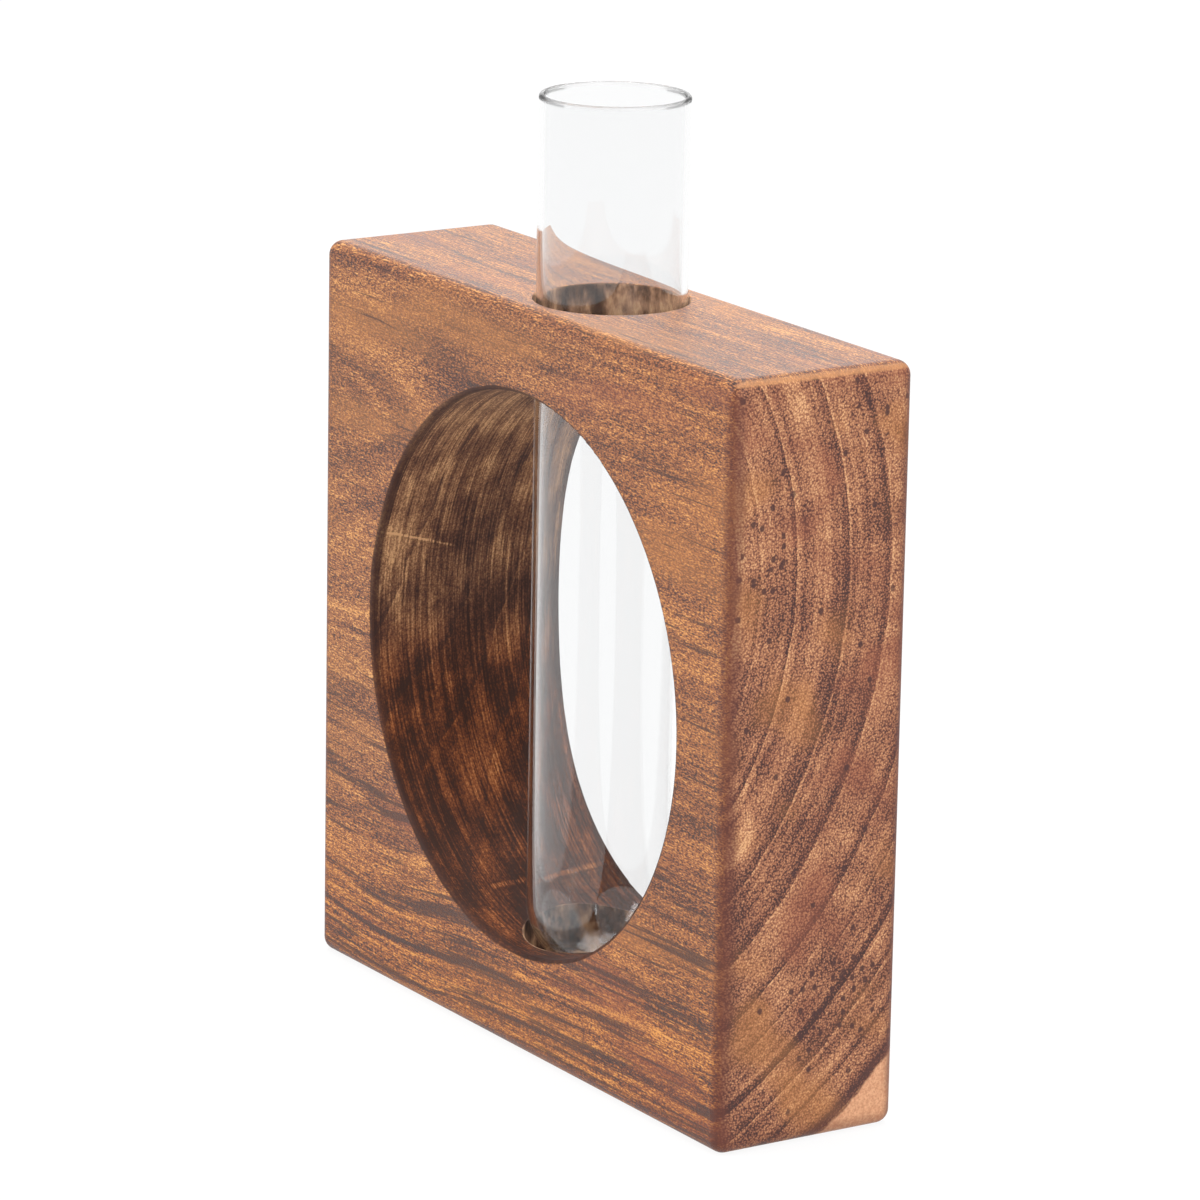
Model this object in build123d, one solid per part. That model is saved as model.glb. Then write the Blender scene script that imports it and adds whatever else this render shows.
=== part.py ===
from build123d import *

import math
import os

# Propagation vase: a block of hardwood with a round window, and a glass tube standing in it.
# Millimetres. The origin is the middle of the underside, +Z is up, and the front face looks along -Y.

# Block
BLOCK_LENGTH = 127.0        # along X, with the grain
BLOCK_HEIGHT = 127.0
BLOCK_ROUND_OVER = 2.5      # on all twelve outer edges

# Window cut through the block from front to back
WINDOW_RADIUS = 47.5
WINDOW_RAISE = 1.5          # its centre lies this far above the middle of the block
WINDOW_SHIFT = 1.0          # and this far to the right of it
WINDOW_EDGE_RADIUS = 0.8

# Glass tube
TUBE_RADIUS = 12.5
TUBE_WALL = 1.0
TUBE_LENGTH = 150.0

# Bore that takes the tube, drilled from the top through the window and into its floor
BORE_CLEARANCE = 0.45       # on the radius
BORE_EDGE_RADIUS = 0.4
WOOD_BESIDE_BORE = 4.25     # left in front of the bore and behind it
FLOOR_THICKNESS = 10.8      # wood left under the recess that the tube stands in
SEAT_GAP = 0.2              # between the tube's round end and the floor of the recess

# Every cut runs this far past the face that it leaves
OVERRUN = 5.0

# Worked out from the values above
bore_radius = TUBE_RADIUS + BORE_CLEARANCE
block_depth = 2 * (bore_radius + WOOD_BESIDE_BORE)
bore_x = WINDOW_SHIFT
window_centre_z = BLOCK_HEIGHT / 2 + WINDOW_RAISE
tube_end_z = FLOOR_THICKNESS + SEAT_GAP


def window_cutter():
    """The cylinder that the window leaves, lying along Y."""
    length = block_depth + 2 * OVERRUN
    return Pos(WINDOW_SHIFT, 0, window_centre_z) * Rot(90, 0, 0) * Cylinder(WINDOW_RADIUS, length)


def bore_cutter():
    """The drill's path: upright, from above the top face down to the floor of the recess."""
    length = BLOCK_HEIGHT - FLOOR_THICKNESS + OVERRUN
    upright = (Align.CENTER, Align.CENTER, Align.MIN)
    return Pos(bore_x, 0, FLOOR_THICKNESS) * Cylinder(bore_radius, length, align=upright)


def on_outer_face(edge):
    """True for a circular edge that lies flat in the front, back or top face."""
    centre = edge.bounding_box().center()
    size = edge.bounding_box().size
    in_front_or_back = abs(abs(centre.Y) - block_depth / 2) < BORE_CLEARANCE and size.Y < BORE_CLEARANCE
    in_top = abs(centre.Z - BLOCK_HEIGHT) < BORE_CLEARANCE and size.Z < BORE_CLEARANCE
    return in_front_or_back or in_top


def wood_block():
    """One solid block, with its window, its bore and the recess in the window's floor."""
    on_base = (Align.CENTER, Align.CENTER, Align.MIN)
    blank = Box(BLOCK_LENGTH, block_depth, BLOCK_HEIGHT, align=on_base)
    blank = fillet(blank.edges(), BLOCK_ROUND_OVER)

    with_window = blank - window_cutter()
    window_rims = with_window.edges().filter_by(GeomType.CIRCLE).filter_by(on_outer_face)
    window_rims = window_rims.filter_by(lambda edge: edge.radius > TUBE_RADIUS)
    with_window = fillet(window_rims, WINDOW_EDGE_RADIUS)

    drilled = with_window - bore_cutter()
    bore_rims = drilled.edges().filter_by(GeomType.CIRCLE).filter_by(on_outer_face)
    bore_rims = bore_rims.filter_by(lambda edge: abs(edge.radius - bore_radius) < BORE_CLEARANCE)
    return fillet(bore_rims, BORE_EDGE_RADIUS)


def glass_tube():
    """A test tube: straight wall, round end, and a rim melted to a full round."""
    inner_radius = TUBE_RADIUS - TUBE_WALL
    rim_radius = TUBE_WALL / 2
    round_end_z = tube_end_z + TUBE_RADIUS
    rim_z = tube_end_z + TUBE_LENGTH - rim_radius
    diagonal = math.sqrt(0.5)

    outer_end = (TUBE_RADIUS * diagonal, 0, round_end_z - TUBE_RADIUS * diagonal)
    inner_end = (inner_radius * diagonal, 0, round_end_z - inner_radius * diagonal)
    rim_top = (inner_radius + rim_radius, 0, rim_z + rim_radius)

    outline = [
        ThreePointArc((0, 0, tube_end_z), outer_end, (TUBE_RADIUS, 0, round_end_z)),
        Line((TUBE_RADIUS, 0, round_end_z), (TUBE_RADIUS, 0, rim_z)),
        ThreePointArc((TUBE_RADIUS, 0, rim_z), rim_top, (inner_radius, 0, rim_z)),
        Line((inner_radius, 0, rim_z), (inner_radius, 0, round_end_z)),
        ThreePointArc((inner_radius, 0, round_end_z), inner_end, (0, 0, tube_end_z + TUBE_WALL)),
        Line((0, 0, tube_end_z + TUBE_WALL), (0, 0, tube_end_z)),
    ]
    profile = make_face(outline)
    return Pos(bore_x, 0, 0) * revolve(profile, Axis.Z, 360)


def main():
    os.makedirs("parts", exist_ok=True)
    nodes = {
        "wood_block": wood_block(),
        "glass_tube": glass_tube(),
    }
    for name, shape in nodes.items():
        box = shape.bounding_box()
        print(f"{name}: {box.size.X:.1f} x {box.size.Y:.1f} x {box.size.Z:.1f} mm, volume {shape.volume:.0f}")
        export_step(shape, f"parts/{name}.step")


main()
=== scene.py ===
# %% [markdown]
# # A propagation vase: one block of hardwood and one glass tube
# The object is a square block of oiled hardwood with a round window cut through it.
# A test tube drops through a bore in the top, crosses the window, and stands in a recess in its floor.
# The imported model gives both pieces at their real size; this lesson gives them their surfaces.

import math

import bpy
from mathutils import Matrix, Vector


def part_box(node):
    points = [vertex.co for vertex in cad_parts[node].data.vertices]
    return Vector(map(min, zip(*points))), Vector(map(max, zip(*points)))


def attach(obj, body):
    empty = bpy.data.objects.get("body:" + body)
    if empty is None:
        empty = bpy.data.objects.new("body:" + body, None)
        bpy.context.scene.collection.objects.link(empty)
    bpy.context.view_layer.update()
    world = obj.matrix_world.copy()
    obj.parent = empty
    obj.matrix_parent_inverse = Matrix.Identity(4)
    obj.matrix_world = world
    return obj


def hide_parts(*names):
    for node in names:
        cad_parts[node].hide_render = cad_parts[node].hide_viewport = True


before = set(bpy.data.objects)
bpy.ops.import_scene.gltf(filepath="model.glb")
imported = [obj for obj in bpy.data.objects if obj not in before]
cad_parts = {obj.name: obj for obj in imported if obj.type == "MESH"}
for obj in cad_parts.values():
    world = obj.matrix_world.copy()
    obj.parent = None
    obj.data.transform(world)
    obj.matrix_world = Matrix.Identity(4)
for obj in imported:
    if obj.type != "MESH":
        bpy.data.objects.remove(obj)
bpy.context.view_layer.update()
MM = 0.001
print("nodes:", sorted(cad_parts))

# %% [markdown]
# ## The sizes that the surfaces need
# A solid-wood pattern has to know where the block's faces, its window and its bore lie.
# They could be typed in again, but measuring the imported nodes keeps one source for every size.
# A box doesn't tell how wide and high the window is, how loose the tube stands or how thick its wall is,
# so those four are written here.

# %% Measure the nodes
BLOCK_LOW, BLOCK_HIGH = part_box("wood_block")
TUBE_LOW, TUBE_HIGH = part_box("glass_tube")
half_length = (BLOCK_HIGH[0] - BLOCK_LOW[0]) / 2 / MM
half_depth = (BLOCK_HIGH[1] - BLOCK_LOW[1]) / 2 / MM
block_height = (BLOCK_HIGH[2] - BLOCK_LOW[2]) / MM
tube_radius = (TUBE_HIGH[0] - TUBE_LOW[0]) / 2 / MM
tube_x = (TUBE_HIGH[0] + TUBE_LOW[0]) / 2 / MM
tube_end = TUBE_LOW[2] / MM
tube_length = (TUBE_HIGH[2] - TUBE_LOW[2]) / MM
print(f"block {2 * half_length:.1f} x {2 * half_depth:.1f} x {block_height:.1f} mm")
print(f"tube radius {tube_radius:.2f} mm, length {tube_length:.1f} mm")

# %% Write the sizes that a box doesn't tell
WINDOW_RADIUS = 47.5
WINDOW_RAISE = 1.5
BORE_CLEARANCE = 0.45
TUBE_WALL = 1.0
window_z = block_height / 2 + WINDOW_RAISE
bore_radius = tube_radius + BORE_CLEARANCE
print(f"window centre {window_z:.1f} mm up, bore radius {bore_radius:.2f} mm")

# %% [markdown]
# ## The camera
# The photograph was taken with a long lens from the right and a little above.
# A camera could be placed by eye, but this one's bearing, height and lens come from the block's outline.
# The picture leans by one degree, so the camera is rolled by the same amount.

# %% Place the camera
CAMERA_AIM = Vector((-2.8, 1.2, 74.8)) * MM
CAMERA_DISTANCE = 1065.8 * MM
CAMERA_BEARING = math.radians(57.27)
CAMERA_HEIGHT_ANGLE = math.radians(14.60)
CAMERA_ROLL = math.radians(1.04)
CAMERA_LENS = 191.7
CAMERA_NEAR_END = 10.0 * MM
SENSOR_WIDTH = 36.0


def make_camera():
    back = Vector((
        math.sin(CAMERA_BEARING) * math.cos(CAMERA_HEIGHT_ANGLE),
        -math.cos(CAMERA_BEARING) * math.cos(CAMERA_HEIGHT_ANGLE),
        math.sin(CAMERA_HEIGHT_ANGLE),
    ))
    level_right = Vector((math.cos(CAMERA_BEARING), math.sin(CAMERA_BEARING), 0))
    level_up = back.cross(level_right)
    right = level_right * math.cos(CAMERA_ROLL) + level_up * math.sin(CAMERA_ROLL)
    up = back.cross(right)
    data = bpy.data.cameras.new("camera")
    data.lens = CAMERA_LENS
    data.sensor_width = SENSOR_WIDTH
    data.clip_start = CAMERA_NEAR_END
    camera = bpy.data.objects.new("camera", data)
    bpy.context.scene.collection.objects.link(camera)
    camera.matrix_world = (
        Matrix.Translation(CAMERA_AIM + back * CAMERA_DISTANCE)
        @ Matrix((right, up, back)).transposed().to_4x4()
    )
    bpy.context.scene.camera = camera
    return camera


camera = make_camera()
print("camera at", [round(v, 3) for v in camera.matrix_world.translation])

# %% [markdown]
# ## Sums on sockets
# A shader is a chain of small sums, and wiring each sum by hand hides what it means.
# One small class wraps a socket, so that a pattern can be written as an expression and reads like one.
# The same class adds any other node: first its settings, then the values or links of its inputs.

# %% Define the wire
class Wire:
    """An output in a node tree, or just the tree, which sums and new nodes can start from."""

    def __init__(self, tree, socket=None):
        self.tree = tree
        self.socket = socket

    def node(self, kind, settings=None, values=None, output=0):
        """Adds a node, sets it up, feeds its inputs and returns one of its outputs."""
        made = self.tree.nodes.new(kind)
        for name, value in (settings or {}).items():
            if name == "stops":
                fill_ramp(made.color_ramp, value)
            else:
                setattr(made, name, value)
        for name, value in (values or {}).items():
            if isinstance(value, Wire):
                self.tree.links.new(value.socket, made.inputs[name])
            else:
                made.inputs[name].default_value = value
        return Wire(self.tree, made.outputs[output])

    def sum(self, operation, *numbers):
        return self.node("ShaderNodeMath", {"operation": operation}, dict(enumerate(numbers)))

    def __add__(self, other):
        return self.sum("ADD", self, other)

    __radd__ = __add__

    def __sub__(self, other):
        return self.sum("SUBTRACT", self, other)

    def __rsub__(self, other):
        return self.sum("SUBTRACT", other, self)

    def __mul__(self, other):
        return self.sum("MULTIPLY", self, other)

    __rmul__ = __mul__

    def __truediv__(self, other):
        return self.sum("DIVIDE", self, other)

    def __abs__(self):
        return self.sum("ABSOLUTE", self)

    def step(self, start, end):
        """0 before start and 1 after end, with a smooth rise between; start may be the larger."""
        settings = {"interpolation_type": "SMOOTHSTEP"}
        values = {"Value": self, "From Min": start, "From Max": end}
        return self.node("ShaderNodeMapRange", settings, values)


def fill_ramp(ramp, stops):
    """Gives a colour ramp its stops, each a place from 0 to 1 and a colour."""
    while len(ramp.elements) < len(stops):
        ramp.elements.new(1.0)
    for element, (place, colour) in zip(ramp.elements, stops):
        element.position = place
        element.color = colour


print("sums that a wire can do:", "add, subtract, multiply, divide, absolute value and a smooth step")

# %% [markdown]
# ## Colours and empty materials
# Tones read off a screen are written from 0 to 255, but shaders work in linear light.
# The sRGB rule turns one into the other, so the numbers in this lesson stay the ones that an eye compares.

# %% Define tones and new materials
def tone(red, green, blue):
    """A colour as a screen shows it, from 0 to 255, in the linear values that shaders use."""
    def linear(value):
        value /= 255
        return value / 12.92 if value <= 0.04045 else ((value + 0.055) / 1.055) ** 2.4
    return (linear(red), linear(green), linear(blue), 1.0)


def grey(value):
    return (value, value, value, 1.0)


def new_material(name):
    """An empty material, its tree's first wire, and its output node."""
    material = bpy.data.materials.new(name)
    material.use_nodes = True
    material.node_tree.nodes.clear()
    return material, Wire(material.node_tree), material.node_tree.nodes.new("ShaderNodeOutputMaterial")


WHITE = grey(1.0)
print("sky blue in linear values:", [round(v, 3) for v in tone(135, 206, 235)])

# %% [markdown]
# ## Small helpers for patterns in wood
# Wood fibres run along the block, so almost every pattern is a noise that is long in X and fine across it.
# Dividing the point by three sizes in millimetres gives a noise whose bumps have those sizes.

# %% Define places and distances
def place_in_mm(start):
    """The point on the piece, in millimetres, and its three coordinates."""
    place = start.node("ShaderNodeTexCoord", output="Object")
    steps = {"Vector": place, "Scale": 1 / MM}
    place = start.node("ShaderNodeVectorMath", {"operation": "SCALE"}, steps)
    return place, [axis_of(place, axis) for axis in "XYZ"]


def axis_of(place, axis):
    """One coordinate of a point, or one channel of a colour."""
    return place.node("ShaderNodeSeparateXYZ", None, {0: place}, axis)


def vector(x, y, z):
    """A vector made from three numbers or wires, at least one of them a wire."""
    wire = next(part for part in (x, y, z) if isinstance(part, Wire))
    return wire.node("ShaderNodeCombineXYZ", None, {0: x, 1: y, 2: z})


def length_of(first, second):
    """The distance that two wires at right angles make together."""
    return first.sum("SQRT", first * first + second * second)


print("one metre is", round(1 / MM), "of the units that the patterns use")

# %% Define noise and cells
SHIFT_RATES = (1.0, 1.7, 2.3)


def noise(place, sizes=(1.0, 1.0, 1.0), shift=0.0, detail=2.0, roughness=0.5, output=0):
    """Soft noise about 0.5, whose bumps have those sizes along X, Y and Z; shift picks other bumps."""
    shifts = tuple(shift * rate for rate in SHIFT_RATES)
    steps = {0: place, 1: tuple(1 / size for size in sizes), 2: shifts}
    place = place.node("ShaderNodeVectorMath", {"operation": "MULTIPLY_ADD"}, steps)
    values = {"Vector": place, "Scale": 1.0, "Detail": detail, "Roughness": roughness}
    return place.node("ShaderNodeTexNoise", None, values, output)


def cells(place, sizes, output, dimensions="3D"):
    """Scattered cells of those sizes: the distance to the nearest centre, or its random colour."""
    settings = {"feature": "F1", "voronoi_dimensions": dimensions}
    steps = {0: place, 1: tuple(1 / size for size in sizes)}
    place = place.node("ShaderNodeVectorMath", {"operation": "MULTIPLY"}, steps)
    return place.node("ShaderNodeTexVoronoi", settings, {"Vector": place, "Scale": 1.0}, output)


print("shifts along X, Y and Z for a shift of 1:", SHIFT_RATES)

# %% Define mixes
def ramp(factor, stops):
    return factor.node("ShaderNodeValToRGB", {"stops": stops}, {0: factor})


def blend(factor, first, second, kind="MIX"):
    """Two colours mixed by a factor; either may be a wire or a plain colour."""
    settings = {"data_type": "RGBA", "blend_type": kind, "clamp_factor": True}
    # a colour mix has its colour sockets at 6 and 7 and its colour result at 2
    return factor.node("ShaderNodeMix", settings, {0: factor, 6: first, 7: second}, 2)


def choose(factor, first, second):
    """Two numbers mixed by a factor."""
    return factor.node("ShaderNodeMix", {"data_type": "FLOAT"}, {0: factor, 2: first, 3: second})


def mixed(base, shares, patterns):
    """A base number, with every pattern that has a share added in that share."""
    total = base
    for name, share in shares.items():
        total = patterns[name] * share + total
    return total


print("mixes:", ", ".join(helper.__name__ for helper in (ramp, blend, choose, mixed)))

# %% [markdown]
# ## How the tree grew
# The end of the block shows arcs of growth rings about one centre, which lies in front of it and high up.
# So the rings are cylinders round a line along X, and the same rings must cut the front, top and back.
# A picture wrapped round the block would show seams at its edges; a solid pattern has none.
# The rings sit where the end grain shows them, and drift more and more towards the other end.
# Some rings end in a strong dark line and others hardly show, so each has its own strength.

# %% Place the growth rings
PITH_Y = -70.0
PITH_Z = 95.0
RINGS = (
    # radius of the ring's outer line in mm, and its strength
    (46.0, 0.5), (50.0, 0.3), (54.3, 0.6), (58.6, 0.45), (61.6, 0.3), (65.3, 1.0), (75.4, 0.85),
    (83.4, 0.75), (91.5, 1.0), (97.3, 0.7), (103.3, 0.95), (107.6, 0.8), (113.0, 0.7), (118.6, 0.9),
)
RING_SPAN = 130.0
LAST_STRENGTH = 0.5
print("rings in mm from the pith:", [outer for outer, _ in RINGS])

# %% Let the rings wander
DRIFT_SIZES = (95.0, 34.0, 34.0)
RIPPLE_SIZES = (38.0, 7.0, 7.0)
# swings in mm: the slow drift and the ripple's gain count to the block's middle, and twice to its far end
DRIFT = 11.0
RIPPLE = 0.9
RIPPLE_GAIN = 0.525


def grain_drift(place, x):
    """How far the fibres have wandered along Y and along Z, in mm."""
    # 0 at the end with the measured rings, 1 in the middle and 2 at the far end
    far_from_end = (half_length - x) / half_length
    slow = noise(place, DRIFT_SIZES, shift=3.1, detail=1.0, output="Color")
    fine = noise(place, RIPPLE_SIZES, shift=8.4, detail=2.0, output="Color")
    offsets = []
    for axis in "XY":
        drift = (axis_of(slow, axis) - 0.5) * far_from_end * DRIFT
        ripple = (axis_of(fine, axis) - 0.5) * (far_from_end * RIPPLE_GAIN + RIPPLE)
        offsets.append(drift + ripple)
    return offsets


print("furthest drift of the fibres in mm:", DRIFT + RIPPLE_GAIN + RIPPLE / 2)

# %% Find each point's ring
def ring_field(place, axes):
    """Four wires that say where each point lies in the tree.

    They are its radius, its way through its ring, that ring's strength, and the height of its fibre.
    """
    x, y, z = axes
    offset_y, offset_z = grain_drift(place, x)
    radius = length_of(y - PITH_Y + offset_y, z - PITH_Z + offset_z)
    share = radius / RING_SPAN
    count = len(RINGS) + 1
    outers = [outer / RING_SPAN for outer, _ in RINGS]
    count_stops = [(outer, grey((index + 1) / count)) for index, outer in enumerate(outers)]
    counted = ramp(share, [(0.0, grey(0.0)), *count_stops, (1.0, grey(1.0))]) * count
    strength_stops = [(outer, grey(strength)) for outer, (_, strength) in zip(outers, RINGS)]
    strength = ramp(share, [*strength_stops, (1.0, grey(LAST_STRENGTH))])
    return radius, counted.sum("FRACT", counted), strength, z + offset_z


widths = [round(outer - inner, 1) for (inner, _), (outer, _) in zip(RINGS, RINGS[1:])]
print("ring widths in mm:", widths)

# %% [markdown]
# ## The patterns of sound wood
# In each ring the wood darkens towards the ring's end, and a thin pale line starts the next one.
# On the end that shows as arcs with fine pale speckles, where the vessels are cut across.
# On the sides the same vessels are cut along, so the speckles are dashes and the arcs are broken streaks.
# All patterns get a name here, so that the ends and the sides can each take their own share of them.

# %% Lay out the patterns
# sizes along X, Y and Z in mm; bands run along the grain and across the tree's radius
BAND_SIZES = (70.0, 1.5, 1.0)
HAZE_SIZES = (52.0, 9.0, 8.0)
FIBRE_SIZES = (8.0, 0.4, 0.3)
DASH_SIZES = (2.2, 0.3, 0.3)
DOT_SIZES = (0.42, 0.42, 1.0)
GRAIN_SIZES = (0.6, 0.24, 0.24)
# ways through a ring, from 0 to 1, between which its dark late wood and its pale first line fade in
LATE_ZONE = (0.6, 1.0)
LINE_START = (0.0, 0.02)
LINE_END = (0.07, 0.02)
# distances from a cell's centre, as shares of its size, between which a dash or a dot fades in
DASH_EDGE = (0.62, 0.15)
DOT_EDGE = (0.7, 0.1)
# levels taken away from the dashes and the dots, so that the wood between them darkens a little
DASH_LEVEL = 0.4
DOT_LEVEL = 0.5
# how the late wood's darkness follows the haze
LATE_HAZE = 1.2
LATE_BASE = 0.35
# heights between which each zone fades in, in mm
LOW_ZONE = (42.0, 8.0)
LOWER_HALF = (62.0, 12.0)
UPPER_HALF = (84.0, 124.0)
UPPER_END = (70.0, 118.0)
SHOULDER = ((76.0, 92.0), (119.0, 108.0))
top_skin = (block_height - 1.5, block_height - 0.3)
# how much stronger the fibres show near the foot and on the top
CONTRAST_GAIN = 0.7
# the brightest spot on the end: its centre in Y and Z, and its reach in Y and Z, in mm
BRIGHT_SPOT = (-13.5, 55.0, 3.2, 8.0)
# shares of that reach between which it fades in
SPOT_EDGE = (1.0, 0.1)


def wood_patterns(place, axes):
    """The patterns of the wood by name, the radius in the tree, and the height of the fibre."""
    x, y, z = axes
    radius, through, strength, level = ring_field(place, axes)
    band = noise(vector(x, radius, 0.0), BAND_SIZES, shift=1.7, detail=3.0, roughness=0.6) - 0.5
    haze = noise(place, HAZE_SIZES, shift=6.6, detail=3.0, roughness=0.6)
    fibre = noise(place, FIBRE_SIZES, shift=5.2, detail=4.0, roughness=0.8) - 0.5
    dashes = cells(place, DASH_SIZES, "Distance").step(*DASH_EDGE) - DASH_LEVEL
    dots = cells(vector(y, z, 0.0), DOT_SIZES, "Distance", "2D").step(*DOT_EDGE) - DOT_LEVEL
    spot_y, spot_z, reach_y, reach_z = BRIGHT_SPOT
    low = z.step(*LOW_ZONE)
    on_top = z.step(*top_skin)
    contrast = (low + on_top) * CONTRAST_GAIN + 1.0
    patterns = {
        "late wood": through.step(*LATE_ZONE) * strength * (haze * LATE_HAZE + LATE_BASE),
        "pale line": through.step(*LINE_END) * through.step(*LINE_START) * strength * haze,
        "bands": band,
        "low bands": band * low,
        "haze": haze - 0.5,
        "grain": noise(place, GRAIN_SIZES, shift=3.8, detail=1.0) - 0.5,
        "end fibres": fibre,
        "side fibres": fibre * contrast,
        "end vessels": dots,
        "side vessels": dashes * contrast,
        "bright spot": length_of((y - spot_y) / reach_y, (z - spot_z) / reach_z).step(*SPOT_EDGE),
        "upper end": z.step(*UPPER_END),
        "shoulder": z.step(*SHOULDER[0]) * z.step(*SHOULDER[1]),
        "lower half": z.step(*LOWER_HALF),
        "upper half": z.step(*UPPER_HALF),
        "low": low,
        "top": on_top,
    }
    return patterns, radius, level


print("finest and longest patterns in mm:", GRAIN_SIZES[1], BAND_SIZES[0])

# %% [markdown]
# ## The colour of the sound wood
# One number from dark to light carries all the patterns, and a ramp turns that number into colour.
# The ends drink more oil and show more contrast than the sides, so each has its own shares and tones.
# Wider patches lean to gold or red, and thin dark streaks lie along the sides, closest near the foot.

# %% Choose the shares and the tones
END_BASE = 0.46
END_SHARES = {
    "late wood": -0.38, "pale line": 0.3, "bands": 1.0, "haze": 1.0, "end vessels": 0.44,
    "end fibres": 0.9, "upper end": 0.1, "bright spot": 0.3, "grain": 1.0,
}
SIDE_BASE = 0.5
SIDE_SHARES = {
    "late wood": -0.16, "bands": 1.0, "low bands": 0.8, "haze": 0.65, "shoulder": -0.12,
    "side vessels": 0.2, "side fibres": 1.15, "grain": 2.0,
}
STREAK_BASE = 0.61
STREAK_SHARES = {"late wood": -0.12, "lower half": -0.06, "upper half": 0.05, "haze": 0.25}
SIDE_TONES = [
    (0.0, tone(54, 25, 16)), (0.2, tone(94, 47, 28)), (0.5, tone(155, 95, 56)),
    (0.75, tone(188, 125, 71)), (1.0, tone(230, 170, 102)),
]
END_TONES = [
    (0.0, tone(58, 28, 24)), (0.2, tone(99, 53, 40)), (0.5, tone(161, 104, 74)),
    (0.75, tone(193, 135, 94)), (1.0, tone(228, 176, 128)),
]
GOLD_TONE = tone(186, 122, 62)
RED_TONE = tone(146, 78, 54)
STREAK_TONE = tone(68, 37, 26)
print("patterns in the ends and the sides:", len(END_SHARES), "and", len(SIDE_SHARES))

# %% Colour the sound wood
PATCH_SIZES = (60.0, 15.0, 13.0)
# levels of the patches between which gold and red come in
GOLD_EDGE = (0.5, 0.72)
RED_EDGE = (0.46, 0.28)
PATCH_SHARE = 0.4
# multiplies the sides' colour near the foot, and a little towards the right end
WARM_TINT = (1.0, 0.8, 0.45, 1.0)
WARM_LOW = 0.7
WARM_RIGHT = 0.24
RIGHT_ZONE = (0.0, 45.0)
STREAK_SIZES = (34.0, 1.6, 0.9)
STREAK_EDGE = 0.07
STREAK_SHARE = 0.78
STREAK_LOSS_ON_ENDS = 0.85


def tinted(place, axes, colour, patterns, end_grain):
    """Leans the wood's colour to gold and red in patches, and warms it near the foot."""
    patch = noise(place, PATCH_SIZES, shift=9.3, detail=2.0)
    colour = blend(patch.step(*GOLD_EDGE) * PATCH_SHARE, colour, GOLD_TONE)
    colour = blend(patch.step(*RED_EDGE) * PATCH_SHARE, colour, RED_TONE)
    low, on_top = patterns["low"], patterns["top"]
    right = axes[0].step(*RIGHT_ZONE) * (1 - low) * (1 - on_top)
    warm = low * WARM_LOW + right * WARM_RIGHT
    return blend(warm * (1 - end_grain), colour, WARM_TINT, "MULTIPLY")


def sound_wood(place, axes, end_grain):
    """The colour of the wood where it is only sanded and oiled, its light, and the radius in the tree."""
    patterns, radius, level = wood_patterns(place, axes)
    side_light = mixed(SIDE_BASE, SIDE_SHARES, patterns)
    end_light = mixed(END_BASE, END_SHARES, patterns)
    light = choose(end_grain, side_light, end_light)
    colour = blend(end_grain, ramp(light, SIDE_TONES), ramp(light, END_TONES))
    colour = tinted(place, axes, colour, patterns, end_grain)

    along = vector(axes[0], axes[1], level)
    dash = noise(along, STREAK_SIZES, shift=2.9, detail=3.0, roughness=0.65)
    streak = (dash - mixed(STREAK_BASE, STREAK_SHARES, patterns)).step(0.0, STREAK_EDGE)
    streak = streak * (1 - end_grain * STREAK_LOSS_ON_ENDS)
    return blend(streak * STREAK_SHARE, colour, STREAK_TONE), light, radius


print("streaks in mm: long", STREAK_SIZES[0], "and high", STREAK_SIZES[2])

# %% [markdown]
# ## Gum pockets and sapwood
# Dark specks sit in clusters on the end grain, where vessels are filled with gum.
# They could be drawn one by one, but scattered cells that crowd in the clusters look just as random.
# The cells are flat ones in Y and Z, so that every speck keeps its full width on the end face.
# The youngest wood, past the last ring, is pale sapwood, and it shows in one lower corner.

# %% Add gum pockets
SPECK_SIZES = (1.955, 2.3, 1.0)
SPECK_EDGE = (0.3, 0.17)
SPECK_SHARE = 0.88
SPECK_TONE = tone(66, 32, 30)
# shares of the cells that hold a speck: everywhere, and how many more inside a cluster
RARE_SPECKS = 0.05
CLUSTER_SPECKS = 0.4
# squares of the distance from a cluster's centre, in reaches, between which its specks come in
CLUSTER_EDGE = (1.4, 0.4)
LUCK_EDGE = 0.02
SPECK_CLUSTERS = (
    # centre in Y and Z, and reach in Y and Z, in mm
    (-11.0, 97.0, 4.5, 11.0), (4.5, 23.5, 10.0, 7.5), (9.5, 119.0, 4.0, 4.0),
)


def gum_pockets(axes):
    """A mask of the specks: dense inside the clusters and rare elsewhere."""
    _, y, z = axes
    across_grain = vector(y, z, 0.0)
    luck = axis_of(cells(across_grain, SPECK_SIZES, "Color", "2D"), "X")
    density = RARE_SPECKS
    for centre_y, centre_z, reach_y, reach_z in SPECK_CLUSTERS:
        across = (y - centre_y) / reach_y
        up = (z - centre_z) / reach_z
        density = (across * across + up * up).step(*CLUSTER_EDGE) * CLUSTER_SPECKS + density
    spots = cells(across_grain, SPECK_SIZES, "Distance", "2D").step(*SPECK_EDGE)
    return spots * (density - luck).step(0.0, LUCK_EDGE)


print("clusters of specks:", len(SPECK_CLUSTERS))

# %% Add sapwood
SAPWOOD_RADIUS = 118.9
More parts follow.
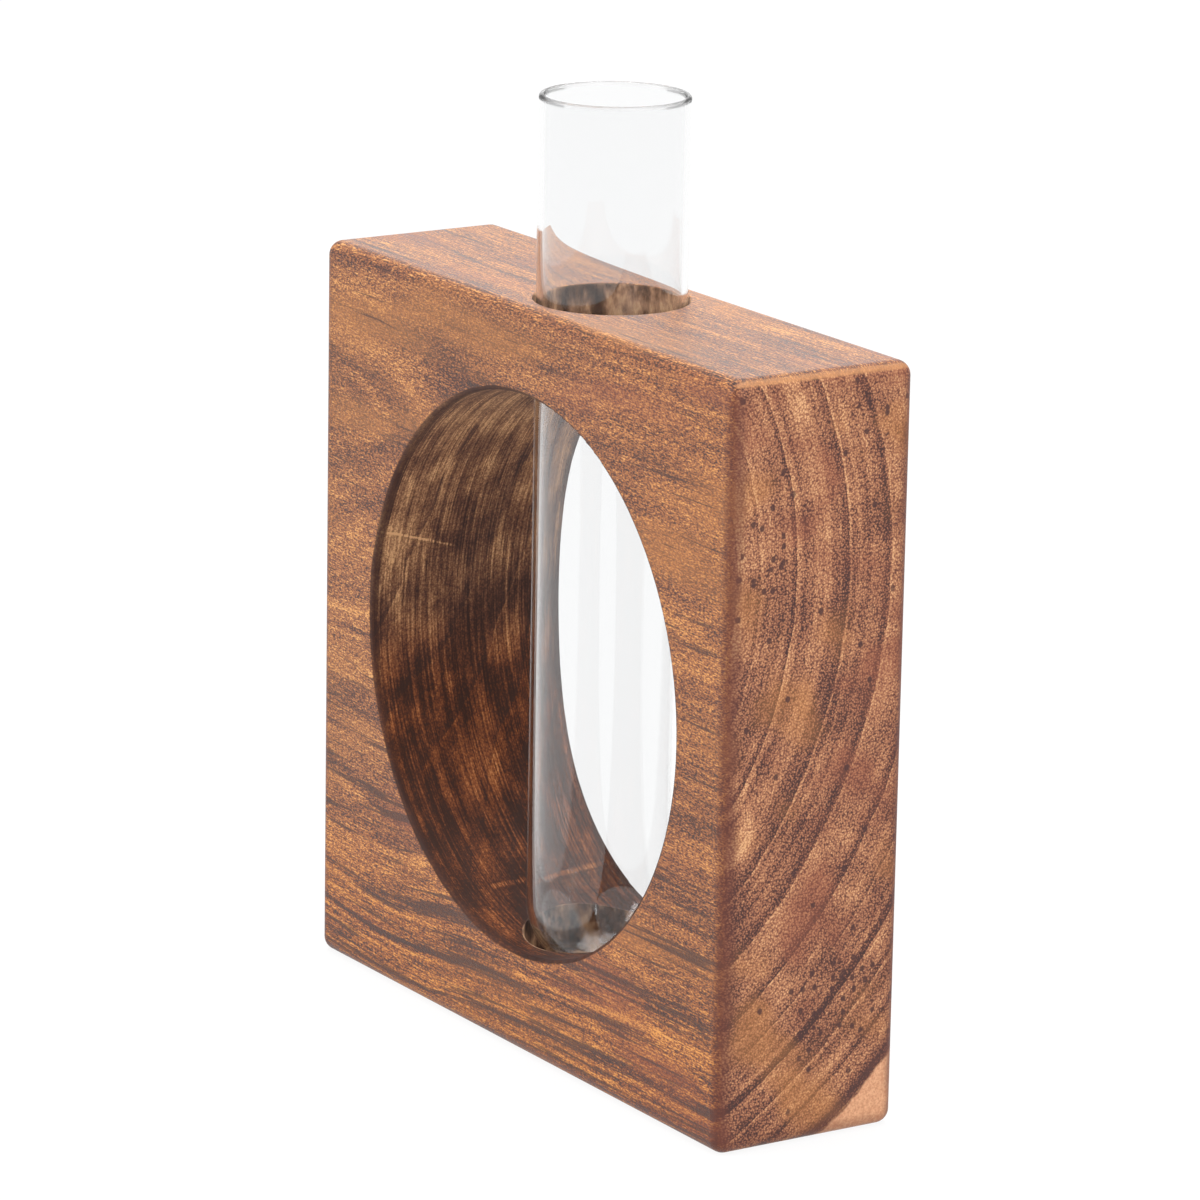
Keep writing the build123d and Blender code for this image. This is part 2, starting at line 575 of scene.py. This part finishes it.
# radii in mm between which the sapwood fades in, and between which the last ring darkens before it
SAP_EDGE = (SAPWOOD_RADIUS, SAPWOOD_RADIUS + 0.5)
LAST_RING_EDGE = (SAPWOOD_RADIUS - 3.2, SAPWOOD_RADIUS - 0.2)
SAP_EDGE_SIZES = (30.0, 4.0, 4.0)
SAP_WAVER = 1.6
SAP_GRAIN_SIZES = (9.0, 0.45, 0.45)
SAP_GRAIN_EDGE = (0.3, 0.7)
DARK_SAP_TONE = tone(200, 138, 100)
PALE_SAP_TONE = tone(233, 178, 138)
LAST_RING_TONE = tone(84, 46, 40)
LAST_RING_SHARE = 0.55


def add_pockets_and_sap(place, axes, colour, radius, end_grain):
    """Darkens the gum pockets and pales the wood outside the heartwood."""
    edge = noise(place, SAP_EDGE_SIZES, shift=4.4, detail=3.0)
    wavy_radius = radius + (edge - 0.5) * SAP_WAVER
    sap = wavy_radius.step(*SAP_EDGE)
    last_ring = wavy_radius.step(*LAST_RING_EDGE)
    colour = blend(last_ring * LAST_RING_SHARE, colour, LAST_RING_TONE)
    grain = noise(place, SAP_GRAIN_SIZES, shift=7.7, detail=3.0, roughness=0.7)
    colour = blend(sap, colour, blend(grain.step(*SAP_GRAIN_EDGE), DARK_SAP_TONE, PALE_SAP_TONE))
    specks = gum_pockets(axes) * SPECK_SHARE * end_grain * (1 - sap)
    return blend(specks, colour, SPECK_TONE)


corner_radius = math.hypot(half_depth - PITH_Y, PITH_Z)
print(f"sapwood at the back lower corner: {corner_radius - SAPWOOD_RADIUS:.1f} mm")

# %% [markdown]
# ## The cut surfaces inside
# The window's wall and the bore were cut fast and left unsanded, so they are scorched brown.
# Fine marks run round the wall the way the cutter turned, over patches that are scorched more or less.
# A noise that is fine in Y and long in X and Z follows the cut all the way round without a seam.
# Only the two long scratches are placed by their angle round the window's axis.

# %% Choose the scorched tones
WALL_TONES = [
    (0.0, tone(46, 25, 19)), (0.25, tone(72, 43, 32)), (0.5, tone(110, 72, 51)),
    (0.75, tone(156, 112, 78)), (1.0, tone(208, 160, 114)),
]
LOW_WALL_TONES = [
    (0.0, tone(50, 24, 12)), (0.25, tone(88, 44, 22)), (0.5, tone(138, 76, 40)),
    (0.75, tone(184, 116, 66)), (1.0, tone(222, 158, 98)),
]
BORE_TONES = [
    (0.0, tone(46, 30, 22)), (0.3, tone(92, 66, 50)),
    (0.6, tone(148, 112, 86)), (1.0, tone(204, 164, 126)),
]
CUT_RIM_TONE = tone(54, 29, 22)
CUT_RIM_SHARE = 0.8
WALL_BASE = 0.37
WALL_SHARES = {"marks": 1.25, "bands": 0.9, "patches": 1.5, "height": 0.45, "light": 0.4, "grit": 0.5}
BORE_BASE = 0.54
BORE_SHARES = {"drill marks": 3.0, "patches": 2.2}
print("patterns in the window's wall:", ", ".join(WALL_SHARES))

# %% Scratch the window's wall
SCRATCHES = (
    # angle round the window, slant along Y, half-width, first and last Y in mm, and strength
    (168.1, -0.287, 0.16, -16.5, -1.5, 0.5), (-115.7, 0.06, 0.45, -9.0, 13.5, 0.4),
)
SCRATCH_WAVER = 0.8
# a scratch is broken off where the marks are below the first level, and whole above the second
SCRATCH_BREAKS = (0.32, 0.55)
# half-widths from a scratch's line at which it is gone, and at which it has its full strength
GONE_AT = 2.0
FULL_AT = 0.5


def scratches(off_x, off_z, y, patterns):
    """How much lighter the scratches make the window's wall."""
    arc = off_z.sum("ARCTAN2", off_z, off_x) * WINDOW_RADIUS
    broken = (patterns["marks"] + 0.5).step(*SCRATCH_BREAKS)
    total = 0.0
    for degrees, slant, width, first_y, last_y, strength in SCRATCHES:
        line = arc - math.radians(degrees) * WINDOW_RADIUS + y * slant
        offset = abs(line + patterns["patches"] * SCRATCH_WAVER)
        within = y.step(first_y - 1, first_y + 1) * y.step(last_y + 1, last_y - 1)
        total = offset.step(width * GONE_AT, width * FULL_AT) * within * broken * strength + total
    return total


print("scratches:", len(SCRATCHES))

# %% Colour the scorched wall and the bore
MARK_SIZES = (18.0, 0.34, 18.0)
CUTTER_BAND_SIZES = (24.0, 1.9, 24.0)
GRIT_SIZES = (0.7, 0.35, 0.7)
DRILL_SIZES = (3.4, 3.4, 8.0)
SCORCH_SIZES = (16.0, 9.0, 11.0)
# shares of the window's height between which the tones of its low wall come in
LOW_WALL_ZONE = (0.55, 0.2)
# the share of a rim's darkening that is everywhere, and the levels of the marks that bring the rest
RIM_BASE = 0.55
RIM_BREAKS = (0.35, 0.55)
# in mm: the waver and reach of a rim, the waver of the scorched wood, and the radii over which it ends
RIM_WAVER = 2.4
RIM_REACH = (1.9, 0.9)
RAGGED_EDGE = 0.7
window_edge = (WINDOW_RADIUS + 0.8, WINDOW_RADIUS + 0.5)
bore_edge = (bore_radius + 0.25, bore_radius + 0.1)


def cut_patterns(place, height, light):
    """The patterns that the cutter and the drill have left, a lightening towards the window's top, and the
    sound wood's light, all centred on 0.
    """
    return {
        "marks": noise(place, MARK_SIZES, shift=1.2, detail=2.0, roughness=0.6) - 0.5,
        "bands": noise(place, CUTTER_BAND_SIZES, shift=5.9, detail=3.0, roughness=0.65) - 0.5,
        "grit": noise(place, GRIT_SIZES, shift=7.1, detail=1.0) - 0.5,
        "drill marks": noise(place, DRILL_SIZES, shift=6.1, detail=4.0, roughness=0.65) - 0.5,
        "patches": noise(place, SCORCH_SIZES, shift=2.2, detail=4.0, roughness=0.62) - 0.5,
        # the wall is simply lighter towards the window's top
        "height": height - 0.4,
        "light": light - 0.5,
    }


def scorched_wood(place, axes, light):
    """The colour inside the window and bore, how strongly it covers the sound wood, and its marks."""
    x, y, z = axes
    off_x = x - tube_x
    off_z = z - window_z
    height = z.step(window_z - WINDOW_RADIUS, window_z + WINDOW_RADIUS)
    patterns = cut_patterns(place, height, light)
    bands, marks = patterns["bands"], patterns["marks"]
    wall = mixed(WALL_BASE, WALL_SHARES, patterns) + scratches(off_x, off_z, y, patterns)
    low_wall = height.step(*LOW_WALL_ZONE)
    colour = blend(low_wall, ramp(wall, WALL_TONES), ramp(wall, LOW_WALL_TONES))

    from_face = half_depth - abs(y) + bands * RIM_WAVER
    rim_marks = (marks + 0.5).step(*RIM_BREAKS)
    rim = from_face.step(*RIM_REACH) * (RIM_BASE + (1 - RIM_BASE) * rim_marks)
    colour = blend(rim * CUT_RIM_SHARE, colour, CUT_RIM_TONE)
    in_bore = length_of(off_x, y).step(*bore_edge)
    colour = blend(in_bore, colour, ramp(mixed(BORE_BASE, BORE_SHARES, patterns), BORE_TONES))

    from_axis = length_of(off_x, off_z) + bands * RAGGED_EDGE
    in_window = from_axis.step(*window_edge)
    relief = choose(in_bore, marks, patterns["drill marks"]) + 0.5
    return colour, in_window.sum("MAXIMUM", in_window, in_bore), relief


print("cutter marks in mm:", MARK_SIZES[1], "wide and", MARK_SIZES[0], "long")

# %% [markdown]
# ## Handled edges and a painted highlight
# Oil gathers at the sanded edges and hands darken them, while a pale strip along the end's top edge is a
# painted highlight, where that rounded edge catches the light.
# The distance to the nearest edge is the middle one of the three distances to the block's planes.

# %% Tint the edges and paint the highlight on the end's top edge
EDGE_WANDER_SIZES = (6.0, 5.0, 5.0)
# in mm: how wide the darkening wanders, and the distances from an edge between which it fades in
EDGE_WANDER = 2.4
EDGE_REACH = (3.4, 1.4)
UPRIGHT_WANDER = 2.0
UPRIGHT_REACH = (2.9, 0.8)
# how far below the top the darkening starts, and how far the painted highlight on the end's top edge
# reaches down and in from the end
DARK_BELOW_TOP = (1.0, 4.0)
HIGHLIGHT_BELOW_TOP = (1.3, 0.9)
HIGHLIGHT_FROM_END = (1.6, 1.0)
# level edges have this share of the upright edges' darkening
LEVEL_SHARE = 0.5
EDGE_TONE = tone(94, 43, 30)
EDGE_SHARE = 0.7
# the painted highlight along the end's top edge: its tone and its share
PAINTED_HIGHLIGHT_TONE = tone(206, 146, 96)
PAINTED_HIGHLIGHT_SHARE = 0.6


def edge_masks(place, axes):
    """Masks for the darkened upright and lower edges and for the painted highlight at the top of an end.
    """
    x, y, z = axes
    to_end = half_length - abs(x)
    to_side = half_depth - abs(y)
    to_top = block_height - z
    to_level = to_top.sum("MINIMUM", to_top, z)
    least = to_end.sum("MINIMUM", to_end, to_side)
    most = to_end.sum("MAXIMUM", to_end, to_side)
    nearest = least.sum("MAXIMUM", least, most.sum("MINIMUM", most, to_level))
    wander = noise(place, EDGE_WANDER_SIZES, shift=3.3, detail=3.0) - 0.5
    near_edge = (nearest + wander * EDGE_WANDER).step(*EDGE_REACH) * to_top.step(*DARK_BELOW_TOP)
    upright = (most + wander * UPRIGHT_WANDER).step(*UPRIGHT_REACH)
    # a painted highlight along the top edge of each end
    highlight_at_end_top = to_top.step(*HIGHLIGHT_BELOW_TOP) * to_end.step(*HIGHLIGHT_FROM_END)
    return near_edge * (LEVEL_SHARE + (1 - LEVEL_SHARE) * upright), highlight_at_end_top


print("edge tones in linear red:", round(EDGE_TONE[0], 3), "and", round(PAINTED_HIGHLIGHT_TONE[0], 3))

# %% [markdown]
# ## The finished wood
# The parts come together here: sound wood, gum and sap, the edges, then the scorched cuts.
# Roughness rises on the end grain and in the cuts, and a shallow bump follows the fibres and cutter marks.
# Every number that is the same all over is set on the shader itself.

# %% Build the wood
END_FACING = (0.55, 0.85)
WOOD_ROUGHNESS = 0.44
ROUGHER_ON_ENDS = 0.12
ROUGHER_IN_CUTS = 0.36
ROUGHER_WHERE_PALE = 0.12
WOOD_RELIEF = {"Strength": 0.35, "Distance": 0.18 * MM}
WOOD_IOR = 1.45


def oiled_hardwood():
    material, start, output = new_material("oiled_hardwood")
    place, axes = place_in_mm(start)
    facing = abs(axis_of(start.node("ShaderNodeTexCoord", output="Normal"), "X"))
    end_grain = facing.step(*END_FACING)
    colour, light, radius = sound_wood(place, axes, end_grain)
    colour = add_pockets_and_sap(place, axes, colour, radius, end_grain)
    dark_edge, painted_highlight = edge_masks(place, axes)
    colour = blend(dark_edge * EDGE_SHARE, colour, EDGE_TONE)
    # a pale strip painted as a highlight along the end's top edge
    colour = blend(painted_highlight * PAINTED_HIGHLIGHT_SHARE, colour, PAINTED_HIGHLIGHT_TONE)
    scorch, cover, marks = scorched_wood(place, axes, light)
    colour = blend(cover, colour, scorch)

    roughness = end_grain * ROUGHER_ON_ENDS + cover * ROUGHER_IN_CUTS + WOOD_ROUGHNESS
    roughness = (light - 0.5) * ROUGHER_WHERE_PALE + roughness
    relief = {"Height": choose(cover, light, marks), **WOOD_RELIEF}
    bump = start.node("ShaderNodeBump", None, relief)
    shader = start.node("ShaderNodeBsdfPrincipled", None, {
        "Base Color": colour, "Roughness": roughness, "Normal": bump, "IOR": WOOD_IOR})
    material.node_tree.links.new(shader.socket, output.inputs["Surface"])
    return material


wood = oiled_hardwood()
print("wood nodes:", len(wood.node_tree.nodes))

# %% [markdown]
# ## The wood block
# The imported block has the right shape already: flat faces, rounded edges, a softened window and a bore.
# Its normals are the true ones of those surfaces, so it shades smoothly as it is.
# It therefore stays, and only gets its finish.

# %% Finish the block
def finish_node(node_name, material):
    """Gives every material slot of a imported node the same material."""
    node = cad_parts[node_name]
    for place in node.material_slots:
        place.material = material
    return node


block = finish_node("wood_block", wood)
print("block triangles:", len(block.data.polygons), "in", len(block.material_slots), "material slot")

# %% [markdown]
# ## Clear glass
# The tube is thin clear glass, so what shows is its reflections and the bending of light near its sides.
# Drawn glass has faint streaks along its length, and a used tube has a slight haze in places.
# The melted rim is a little rougher, and half of the light goes straight through it, so it stays pale.
# Rays from the lamps pass straight through too, because a real tube throws almost no shadow.

# %% Build the glass
GLASS_TONE = (0.945, 0.948, 0.95, 1.0)
GLASS_SHADOW_TONE = grey(0.94)
GLASS_IOR = 1.47
# along the turn in radians and along the tube in mm
DRAWN_SIZES = (0.3, 90.0, 1.0)
DRAWN_RELIEF = {"Strength": 0.03, "Distance": 0.1 * MM}
HAZE_ON_GLASS_SIZES = (9.0, 9.0, 16.0)
HAZE_EDGE = (0.6, 0.8)
HAZE_ROUGHNESS = 0.02
RIM_ROUGHNESS = 0.3
RIM_CLEARNESS = 0.5


def clear_glass():
    material, start, output = new_material("clear_glass")
    place, axes = place_in_mm(start)
    x, y, z = axes
    turn = y.sum("ARCTAN2", y, x - tube_x)
    streaks = noise(vector(turn, z, 0.0), DRAWN_SIZES, shift=1.5)
    haze = noise(place, HAZE_ON_GLASS_SIZES, shift=4.2, detail=3.0)
    top = tube_end + tube_length
    melted_rim = z.step(top - TUBE_WALL, top - TUBE_WALL / 2)
    roughness = haze.step(*HAZE_EDGE) * HAZE_ROUGHNESS + melted_rim * RIM_ROUGHNESS
    bump = start.node("ShaderNodeBump", None, {"Height": streaks, **DRAWN_RELIEF})
    glass = start.node("ShaderNodeBsdfPrincipled", None, {
        "Base Color": GLASS_TONE, "Roughness": roughness, "Normal": bump, "IOR": GLASS_IOR,
        "Transmission Weight": 1.0})
    through = start.node("ShaderNodeBsdfTransparent", None, {"Color": GLASS_SHADOW_TONE})
    path = start.node("ShaderNodeLightPath", output="Is Shadow Ray")
    share = path.sum("MAXIMUM", path, melted_rim * RIM_CLEARNESS)
    shader = start.node("ShaderNodeMixShader", None, {0: share, 1: glass, 2: through})
    material.node_tree.links.new(shader.socket, output.inputs["Surface"])
    return material


glass = clear_glass()
print("glass nodes:", len(glass.node_tree.nodes))

# %% [markdown]
# ## The glass tube
# A tube is a profile turned about an axis: round end, straight wall, full-round rim, and back down inside.
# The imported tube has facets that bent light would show, so Geometry Nodes turn a finer one by that rule.
# The profile is drawn flat from arcs and lines, and swept round a circle half as wide as the tube.

# %% Turn the tube with Geometry Nodes
GUARD = 0.2 * MM
MERGE_DISTANCE = 0.001 * MM
TUBE_INPUTS = {
    "NodeSocketFloat": ("Radius", "Wall", "Length", "Axis X", "End height"),
    "NodeSocketInt": ("Turn steps", "Arc steps", "Wall cuts"),
}


def tube_tree():
    """An empty tree with the tube's named inputs, its first wire, and a wire for each input."""
    tree = bpy.data.node_groups.new("turned_tube", "GeometryNodeTree")
    tree.interface.new_socket("Geometry", in_out="OUTPUT", socket_type="NodeSocketGeometry")
    for kind, names in TUBE_INPUTS.items():
        for name in names:
            tree.interface.new_socket(name, in_out="INPUT", socket_type=kind)
    source = tree.nodes.new("NodeGroupInput")
    given = {name: Wire(tree, source.outputs[name]) for name in source.outputs.keys() if name}
    return tree, Wire(tree), given


def tube_profile(start, given):
    """The tube's outline, drawn flat: up the outside, over the rim and down the inside."""
    radius = given["Radius"]
    wall = given["Wall"]
    inner = radius - wall
    rim = wall * 0.5
    straight = given["Length"] - radius - rim
    quarter = math.pi / 2

    def arc(size, begin, sweep):
        values = {"Resolution": given["Arc steps"], "Radius": size}
        values.update({"Start Angle": begin, "Sweep Angle": sweep})
        return start.node("GeometryNodeCurveArc", {"mode": "RADIUS"}, values)

    def walls(across, heights):
        # a long face would carry the tilt of its ends' normals up the wall, so short ones guard both ends
        lines = []
        for first, last, cuts in zip(heights, heights[1:], (1, given["Wall cuts"], 1)):
            ends = {"Start": vector(across, first, 0.0), "End": vector(across, last, 0.0)}
            whole = start.node("GeometryNodeCurvePrimitiveLine", None, ends)
            lines.append(start.node("GeometryNodeSubdivideCurve", None, {"Curve": whole, "Cuts": cuts}))
        return lines

    values = {"Geometry": arc(rim, 0.0, math.pi), "Translation": vector(radius - rim, straight, 0.0)}
    heights = [0.0, GUARD, straight - GUARD, straight]
    strips = [
        arc(radius, -quarter, quarter),
        *walls(radius, heights),
        start.node("GeometryNodeTransform", None, values),
        *walls(inner, heights[::-1]),
        arc(inner, 0.0, -quarter),
    ]
    joined = start.tree.nodes.new("GeometryNodeJoinGeometry")
    for strip in reversed(strips):
        start.tree.links.new(strip.socket, joined.inputs[0])
    return Wire(start.tree, joined.outputs[0])


def lathe_tree(material):
    """Geometry Nodes that turn a test tube from its radius, wall and length."""
    tree, start, given = tube_tree()
    radius = given["Radius"]
    values = {"Geometry": tube_profile(start, given), "Translation": vector(radius * -0.5, 0.0, 0.0)}
    profile = start.node("GeometryNodeTransform", None, values)
    values = {"Resolution": given["Turn steps"], "Radius": radius * 0.5}
    circle = start.node("GeometryNodeCurvePrimitiveCircle", {"mode": "RADIUS"}, values)
    turned = start.node("GeometryNodeCurveToMesh", None, {"Curve": circle, "Profile Curve": profile})
    values = {"Geometry": turned, "Distance": MERGE_DISTANCE}
    turned = start.node("GeometryNodeMergeByDistance", None, values)
    # a profile is swept upside down, so the tube is turned over as it is set in its place
    seat = vector(given["Axis X"], 0.0, given["End height"] + radius)
    values = {"Geometry": turned, "Translation": seat, "Rotation": (math.pi, 0.0, 0.0)}
    turned = start.node("GeometryNodeTransform", None, values)
    turned = start.node("GeometryNodeSetShadeSmooth", None, {"Geometry": turned})
    turned = start.node("GeometryNodeRealizeInstances", None, {"Geometry": turned})
    turned = start.node("GeometryNodeSetMaterial", None, {"Geometry": turned, "Material": material})
    target = tree.nodes.new("NodeGroupOutput")
    tree.links.new(turned.socket, target.inputs["Geometry"])
    return tree


lathe = lathe_tree(glass)
print("nodes that turn the tube:", len(lathe.nodes))

# %% Grow the tube and seat it
TUBE_SIZES = {
    "Radius": tube_radius * MM, "Wall": TUBE_WALL * MM, "Length": tube_length * MM,
    "Axis X": tube_x * MM, "End height": tube_end * MM,
    "Turn steps": 192, "Arc steps": 24, "Wall cuts": 40,
}


def grown(name, tree, sizes, material):
    """Runs a Geometry Nodes tree with its named sizes and keeps the result as a plain mesh."""
    seed_mesh = bpy.data.meshes.new(name + "_seed")
    worker = bpy.data.objects.new(name + "_worker", seed_mesh)
    bpy.context.scene.collection.objects.link(worker)
    modifier = worker.modifiers.new("grow", "NODES")
    modifier.node_group = tree
    for socket in tree.interface.items_tree:
        if socket.item_type == "SOCKET" and socket.in_out == "INPUT" and socket.name in sizes:
            modifier[socket.identifier] = sizes[socket.name]
    evaluated = worker.evaluated_get(bpy.context.evaluated_depsgraph_get())
    mesh = bpy.data.meshes.new_from_object(evaluated)
    mesh.name = name
    worker.modifiers.remove(modifier)
    bpy.data.objects.remove(worker)
    piece = bpy.data.objects.new(name, mesh)
    bpy.context.scene.collection.objects.link(piece)
    if not mesh.materials:
        mesh.materials.append(material)
    return piece


tube = grown("test_tube", lathe, TUBE_SIZES, glass)
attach(tube, "tube")
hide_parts("glass_tube")
tube_low = [round(min(v.co[axis] for v in tube.data.vertices) / MM, 2) for axis in range(3)]
tube_high = [round(max(v.co[axis] for v in tube.data.vertices) / MM, 2) for axis in range(3)]
print("tube faces:", len(tube.data.polygons), "from", tube_low, "to", tube_high)

# %% [markdown]
# ## The floor
# The photograph shows the object on bare white, with only a breath of shadow under it.
# The floor is plain and pale; to the camera, to gloss and through glass it is mostly its own white,
# mixed with enough of the lit floor to keep the shadow.

# %% Make the floor
FLOOR_REACH = 6.0
FLOOR_TONE = grey(0.8)
FLOOR_WHITE = 1.06
SHADOW_SHARE = 0.15


def seen_directly(start):
    """1 for rays that show a surface as it is: from the camera, off gloss, or through glass."""
    kinds = ("Is Camera Ray", "Is Glossy Ray", "Is Transmission Ray")
    first, second, third = (start.node("ShaderNodeLightPath", output=kind) for kind in kinds)
    return first.sum("MAXIMUM", first, second.sum("MAXIMUM", second, third))


def pale_floor():
    material, start, output = new_material("pale_floor")
    lit = start.node("ShaderNodeBsdfDiffuse", None, {"Color": FLOOR_TONE})
    white = start.node("ShaderNodeEmission", None, {"Color": WHITE, "Strength": FLOOR_WHITE})
    shown = seen_directly(start) * (1 - SHADOW_SHARE)
    shader = start.node("ShaderNodeMixShader", None, {0: shown, 1: lit, 2: white})
    material.node_tree.links.new(shader.socket, output.inputs["Surface"])
    return material


def make_floor():
    corners = [(-1, -1), (1, -1), (1, 1), (-1, 1)]
    mesh = bpy.data.meshes.new("floor")
    mesh.from_pydata([(x * FLOOR_REACH, y * FLOOR_REACH, 0) for x, y in corners], [], [(0, 1, 2, 3)])
    mesh.materials.append(pale_floor())
    floor = bpy.data.objects.new("floor", mesh)
    bpy.context.scene.collection.objects.link(floor)
    return floor


floor = make_floor()
print("floor:", 2 * FLOOR_REACH, "m square")

# %% [markdown]
# ## Surroundings and lamps
# The world gives a soft fill, and the rays that see it directly see it white, as they do the floor.
# Soft lamps above, in front and to the right give the faces the brightness that they have in the picture,
# and a weak one behind puts the sheen on the top that shows there.

# %% Make the world
WORLD_LIGHT = 0.5


def make_world():
    world = bpy.data.worlds.new("white_room")
    bpy.context.scene.world = world
    world.use_nodes = True
    world.node_tree.nodes.clear()
    start = Wire(world.node_tree)
    strength = seen_directly(start) * (1.0 - WORLD_LIGHT) + WORLD_LIGHT
    sky = start.node("ShaderNodeBackground", None, {"Color": WHITE, "Strength": strength})
    output = world.node_tree.nodes.new("ShaderNodeOutputWorld")
    world.node_tree.links.new(sky.socket, output.inputs["Surface"])
    return world


world = make_world()
print("world:", world.name)

# %% Hang the lamps
LAMPS = {
    # name: (place in m, size in m, power in W)
    "overhead": ((-0.1, 0.1, 1.3), 1.1, 12.0),
    "front": ((-0.5, -1.5, 0.75), 1.0, 12.5),
    "right": ((1.5, -0.2, 0.7), 0.9, 10.5),
    "behind": ((-1.5, 1.0, 0.55), 0.9, 3.3),
}
LAMP_AIM = Vector((0, 0, block_height / 2)) * MM
# light goes round inside the tube's wall many times before it leaves
BOUNCES = 40


def make_lamp(name, place, size, power):
    data = bpy.data.lights.new(name, "AREA")
    data.shape = "SQUARE"
    data.size = size
    data.energy = power
    lamp = bpy.data.objects.new(name, data)
    bpy.context.scene.collection.objects.link(lamp)
    turn = (LAMP_AIM - Vector(place)).to_track_quat("-Z", "Y").to_matrix().to_4x4()
    lamp.matrix_world = Matrix.Translation(place) @ turn
    return lamp


for name, (place, size, power) in LAMPS.items():
    make_lamp(name, place, size, power)
bpy.context.scene.view_settings.view_transform = "Standard"
bpy.context.scene.cycles.max_bounces = BOUNCES
bpy.context.scene.cycles.glossy_bounces = BOUNCES
bpy.context.scene.cycles.transmission_bounces = BOUNCES
print("lamps:", ", ".join(LAMPS))
